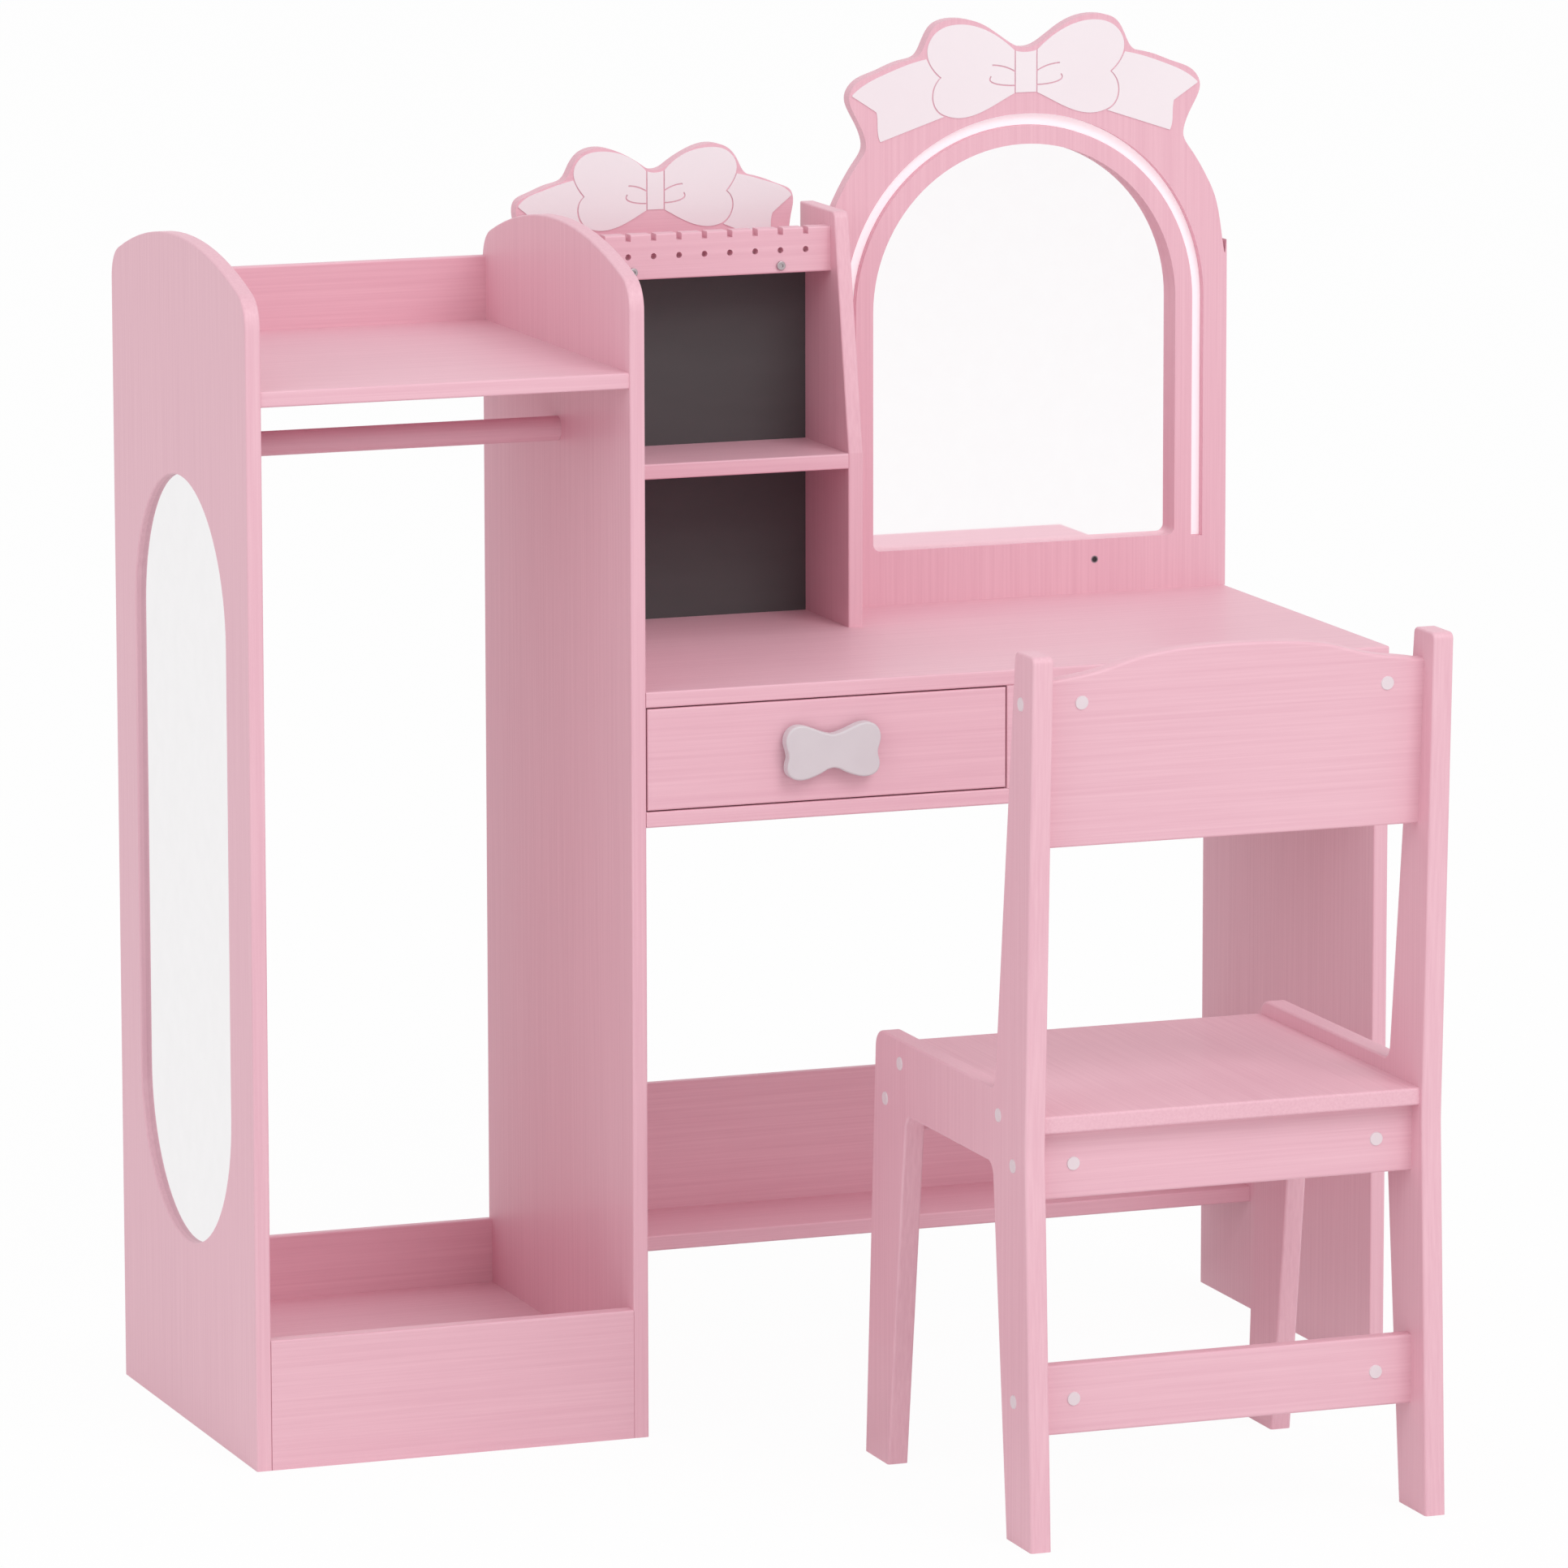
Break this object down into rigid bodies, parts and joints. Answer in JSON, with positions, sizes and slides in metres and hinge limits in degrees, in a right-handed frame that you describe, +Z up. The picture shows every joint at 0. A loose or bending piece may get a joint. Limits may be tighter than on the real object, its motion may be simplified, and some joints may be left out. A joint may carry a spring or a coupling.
{
  "type": "kids vanity table",
  "caption": "Child's vanity table with an open wardrobe, long side mirror, lit arched mirror, drawer, shelf tower with necklace rack, and a matching chair.",
  "frame": {"origin": "on the floor, midway across the table and midway between the chair's rear feet and the back of the mirror's backing", "axes": "+X to the right of someone facing the mirror, +Y from the chair towards the mirror's back, +Z up"},
  "size_m": [0.919, 0.7782, 1.034],
  "materials": {
    "pink_board": "satin paint with a faint wood grain",
    "hardboard": "painted hardboard",
    "mirror_sheet": "polished",
    "chalkboard": "matt chalkboard paint",
    "white_trim": "satin white paint",
    "light_diffuser": "milky diffuser",
    "plastic_trim": "moulded",
    "steel": "zinc plated",
    "peg_wood": "bare beech"
  },
  "bodies": {
    "table": {"left_side_panel": "pink_board", "oval_mirror": "mirror_sheet", "oval_mirror_backing": "hardboard", "oval_mirror_clips": "plastic_trim", "middle_panel": "pink_board", "wardrobe_top_shelf": "pink_board", "wardrobe_upper_back": "pink_board", "wardrobe_bottom_shelf": "pink_board", "wardrobe_lower_back": "pink_board", "kick_board": "pink_board", "hanging_rod": "pink_board", "desk_top": "pink_board", "drawer_shelf": "pink_board", "desk_divider": "pink_board", "desk_rear_board": "pink_board", "right_side_panel": "pink_board", "lower_rear_shelf": "pink_board", "lower_rear_back": "pink_board", "tower_side_panel": "pink_board", "tower_shelf": "pink_board", "tower_roof": "pink_board", "chalkboard": "chalkboard", "necklace_rack": "pink_board", "rack_bolts": "steel", "tower_crest_board": "pink_board", "tower_bow": "white_trim", "mirror_board": "pink_board", "mirror_bow": "white_trim", "vanity_mirror": "mirror_sheet", "mirror_backing": "hardboard", "mirror_screws": "steel", "light_strip": "light_diffuser", "light_switch": "steel", "light_controller": "plastic_trim", "light_lead": "plastic_trim", "fixed_runners": "steel", "fixed_runner_screws": "steel", "wooden_pegs": "peg_wood", "cam_bolts": "steel", "cam_discs": "steel"},
    "drawer": {"drawer_front": "pink_board", "drawer_left_side": "pink_board", "drawer_right_side": "pink_board", "drawer_back": "pink_board", "drawer_bottom": "hardboard", "drawer_pegs": "peg_wood", "drawer_knob": "white_trim", "knob_screws": "steel", "moving_runners": "steel", "moving_runner_screws": "steel"},
    "chair": {"chair_left_side": "pink_board", "chair_right_side": "pink_board", "chair_seat": "pink_board", "chair_rear_rail": "pink_board", "chair_front_rail": "pink_board", "chair_lower_rail": "pink_board", "chair_back_slab": "pink_board", "chair_bolts": "steel", "chair_barrel_nuts": "steel", "chair_caps": "plastic_trim"}
  },
  "joints": [
    {"name": "drawer_slide", "type": "slide", "parent": "table", "child": "drawer", "axis": [0, -1, 0], "range_m": [0, 0.19]},
    {"name": "chair_slide", "type": "slide", "parent": "table", "child": "chair", "axis": [0, -1, 0], "range_m": [-0.17, 0.2]}
  ]
}
